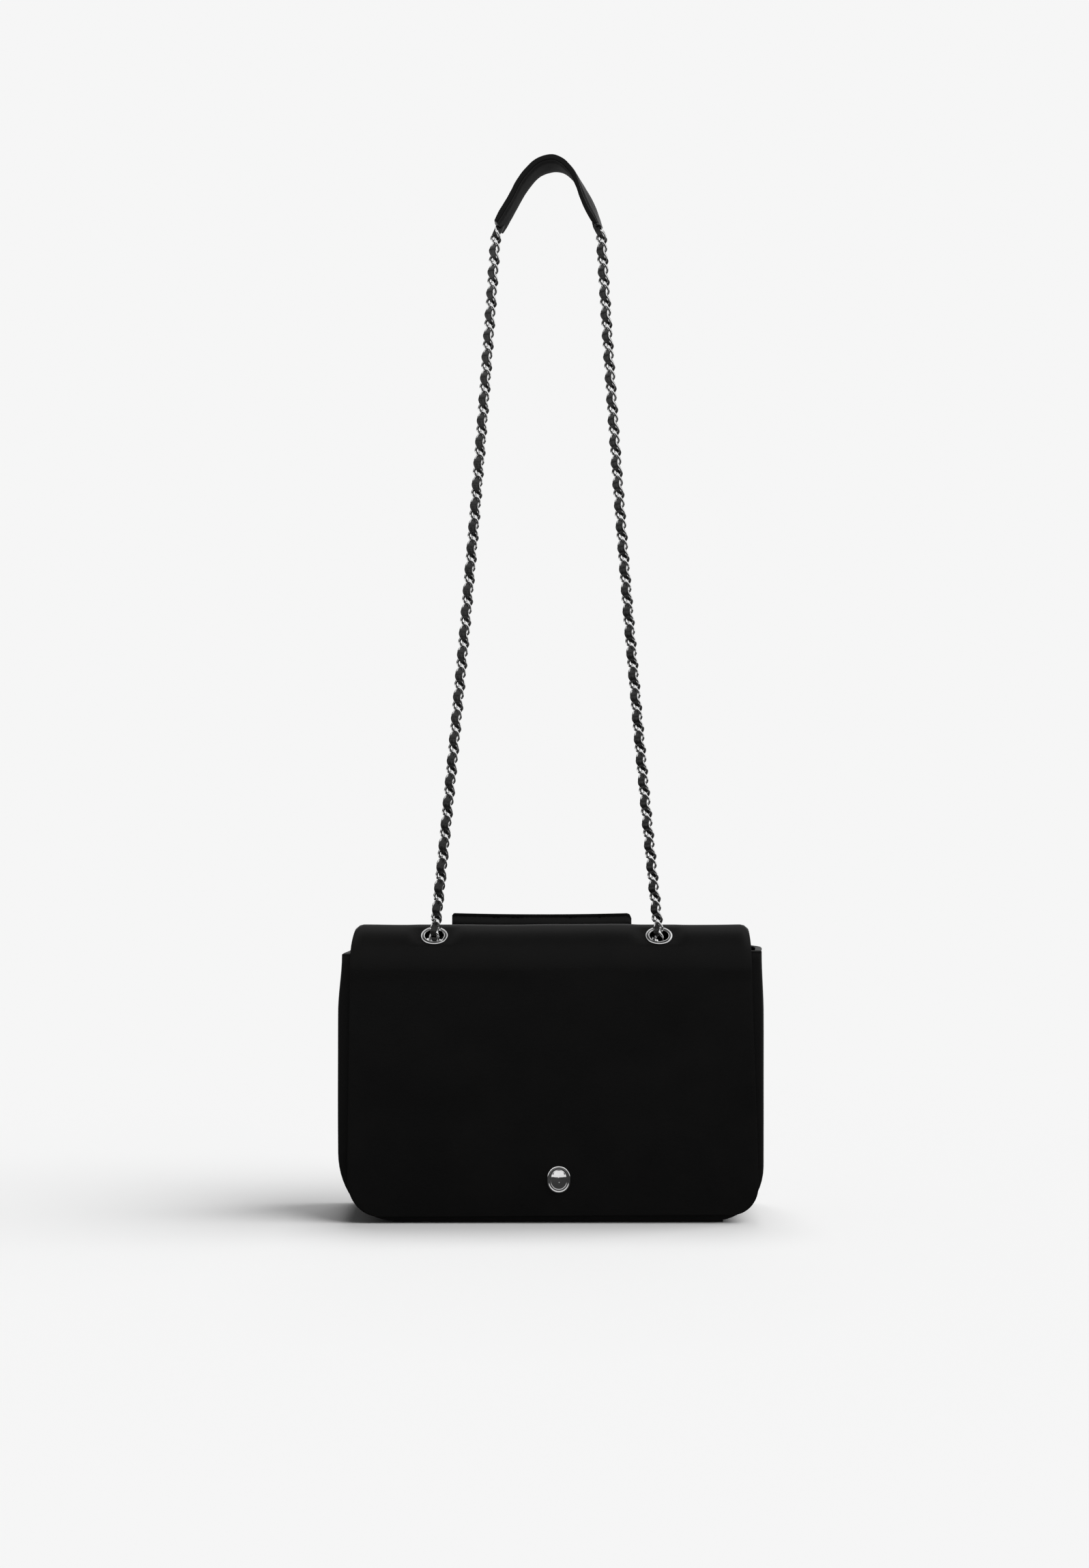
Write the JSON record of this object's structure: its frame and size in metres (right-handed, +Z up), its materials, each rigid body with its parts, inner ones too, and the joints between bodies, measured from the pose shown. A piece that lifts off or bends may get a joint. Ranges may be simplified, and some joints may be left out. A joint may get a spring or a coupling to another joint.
{
  "type": "chain shoulder bag",
  "caption": "Structured leather flap bag with a leather-laced chain strap through eyelets, padded shoulder pieces, a folding flap, a magnetic snap and a lined inside",
  "frame": {"origin": "Middle of the base panel's underside, on the ground, midway between the gussets and between the front and back panels.", "axes": "+Z up towards the raised strap, -Y out of the flap's front, +X to the right as seen from the front."},
  "size_m": [0.25, 0.0904, 0.6285],
  "materials": {
    "body_leather": "smooth black calf, semi-matt",
    "flap_leather": "smooth black calf, semi-matt",
    "pad_leather": "smooth black calf, semi-matt",
    "lace_leather": "black leather lace with painted edges",
    "lining_leather": "thin matt black lining leather",
    "lining_cloth": "black twill lining",
    "board": "stiffening board, hidden",
    "foam": "pad foam, hidden",
    "chain_metal": "polished palladium-tone chain",
    "hardware_metal": "polished palladium-tone metal"
  },
  "bodies": {
    "bag": {"front_panel": "body_leather", "back_panel": "body_leather", "gusset_left": "body_leather", "gusset_right": "body_leather", "base_panel": "body_leather", "base_board": "board", "front_board": "board", "back_board": "board", "lining": "lining_cloth", "mouth_facing": "body_leather", "back_facing": "body_leather", "slip_pocket": "body_leather", "snap_socket": "hardware_metal", "snap_socket_washer": "hardware_metal", "eyelet_back_left": "hardware_metal", "eyelet_back_right": "hardware_metal", "eyelet_washers_back": "hardware_metal", "inner_chain_back": "chain_metal"},
    "flap_top": {"flap_top_leather": "flap_leather", "flap_top_lining": "lining_leather", "eyelet_front_left": "hardware_metal", "eyelet_front_right": "hardware_metal", "eyelet_washers_front": "hardware_metal", "inner_chain_flap": "chain_metal"},
    "flap_front": {"flap_front_leather": "flap_leather", "flap_front_lining": "lining_leather", "snap_stud": "hardware_metal", "snap_stud_washer": "hardware_metal", "ornament": "hardware_metal", "ornament_washers": "hardware_metal"},
    "strap": {"chain_left": "chain_metal", "chain_right": "chain_metal", "lace_left": "lace_leather", "lace_right": "lace_leather", "pad_cover": "pad_leather", "pad_foam": "foam", "pad_lining": "pad_leather"},
    "rear_strap": {"rear_chain": "chain_metal", "rear_laces": "lace_leather", "rear_pad_cover": "pad_leather", "rear_pad_foam": "foam", "rear_pad_lining": "pad_leather"}
  },
  "joints": [
    {"name": "flap_lift", "type": "hinge", "parent": "bag", "child": "flap_top", "pos_m": [0, 0.018, 0.16892], "axis": [-1, 0, 0], "range_deg": [0, 90]},
    {"name": "flap_front_lift", "type": "hinge", "parent": "flap_top", "child": "flap_front", "pos_m": [0, -0.04142, 0.15271], "axis": [-1, 0, 0], "range_deg": [0, 100]},
    {"name": "strap_swing", "type": "hinge", "parent": "flap_top", "child": "strap", "pos_m": [-0.0025, -0.03144, 0.16828], "axis": [1, 0, 0], "range_deg": [-15, 75]},
    {"name": "rear_strap_swing", "type": "hinge", "parent": "bag", "child": "rear_strap", "pos_m": [-0.0055, 0.0308, 0.16292], "axis": [1, 0, 0], "range_deg": [0, 45]}
  ]
}
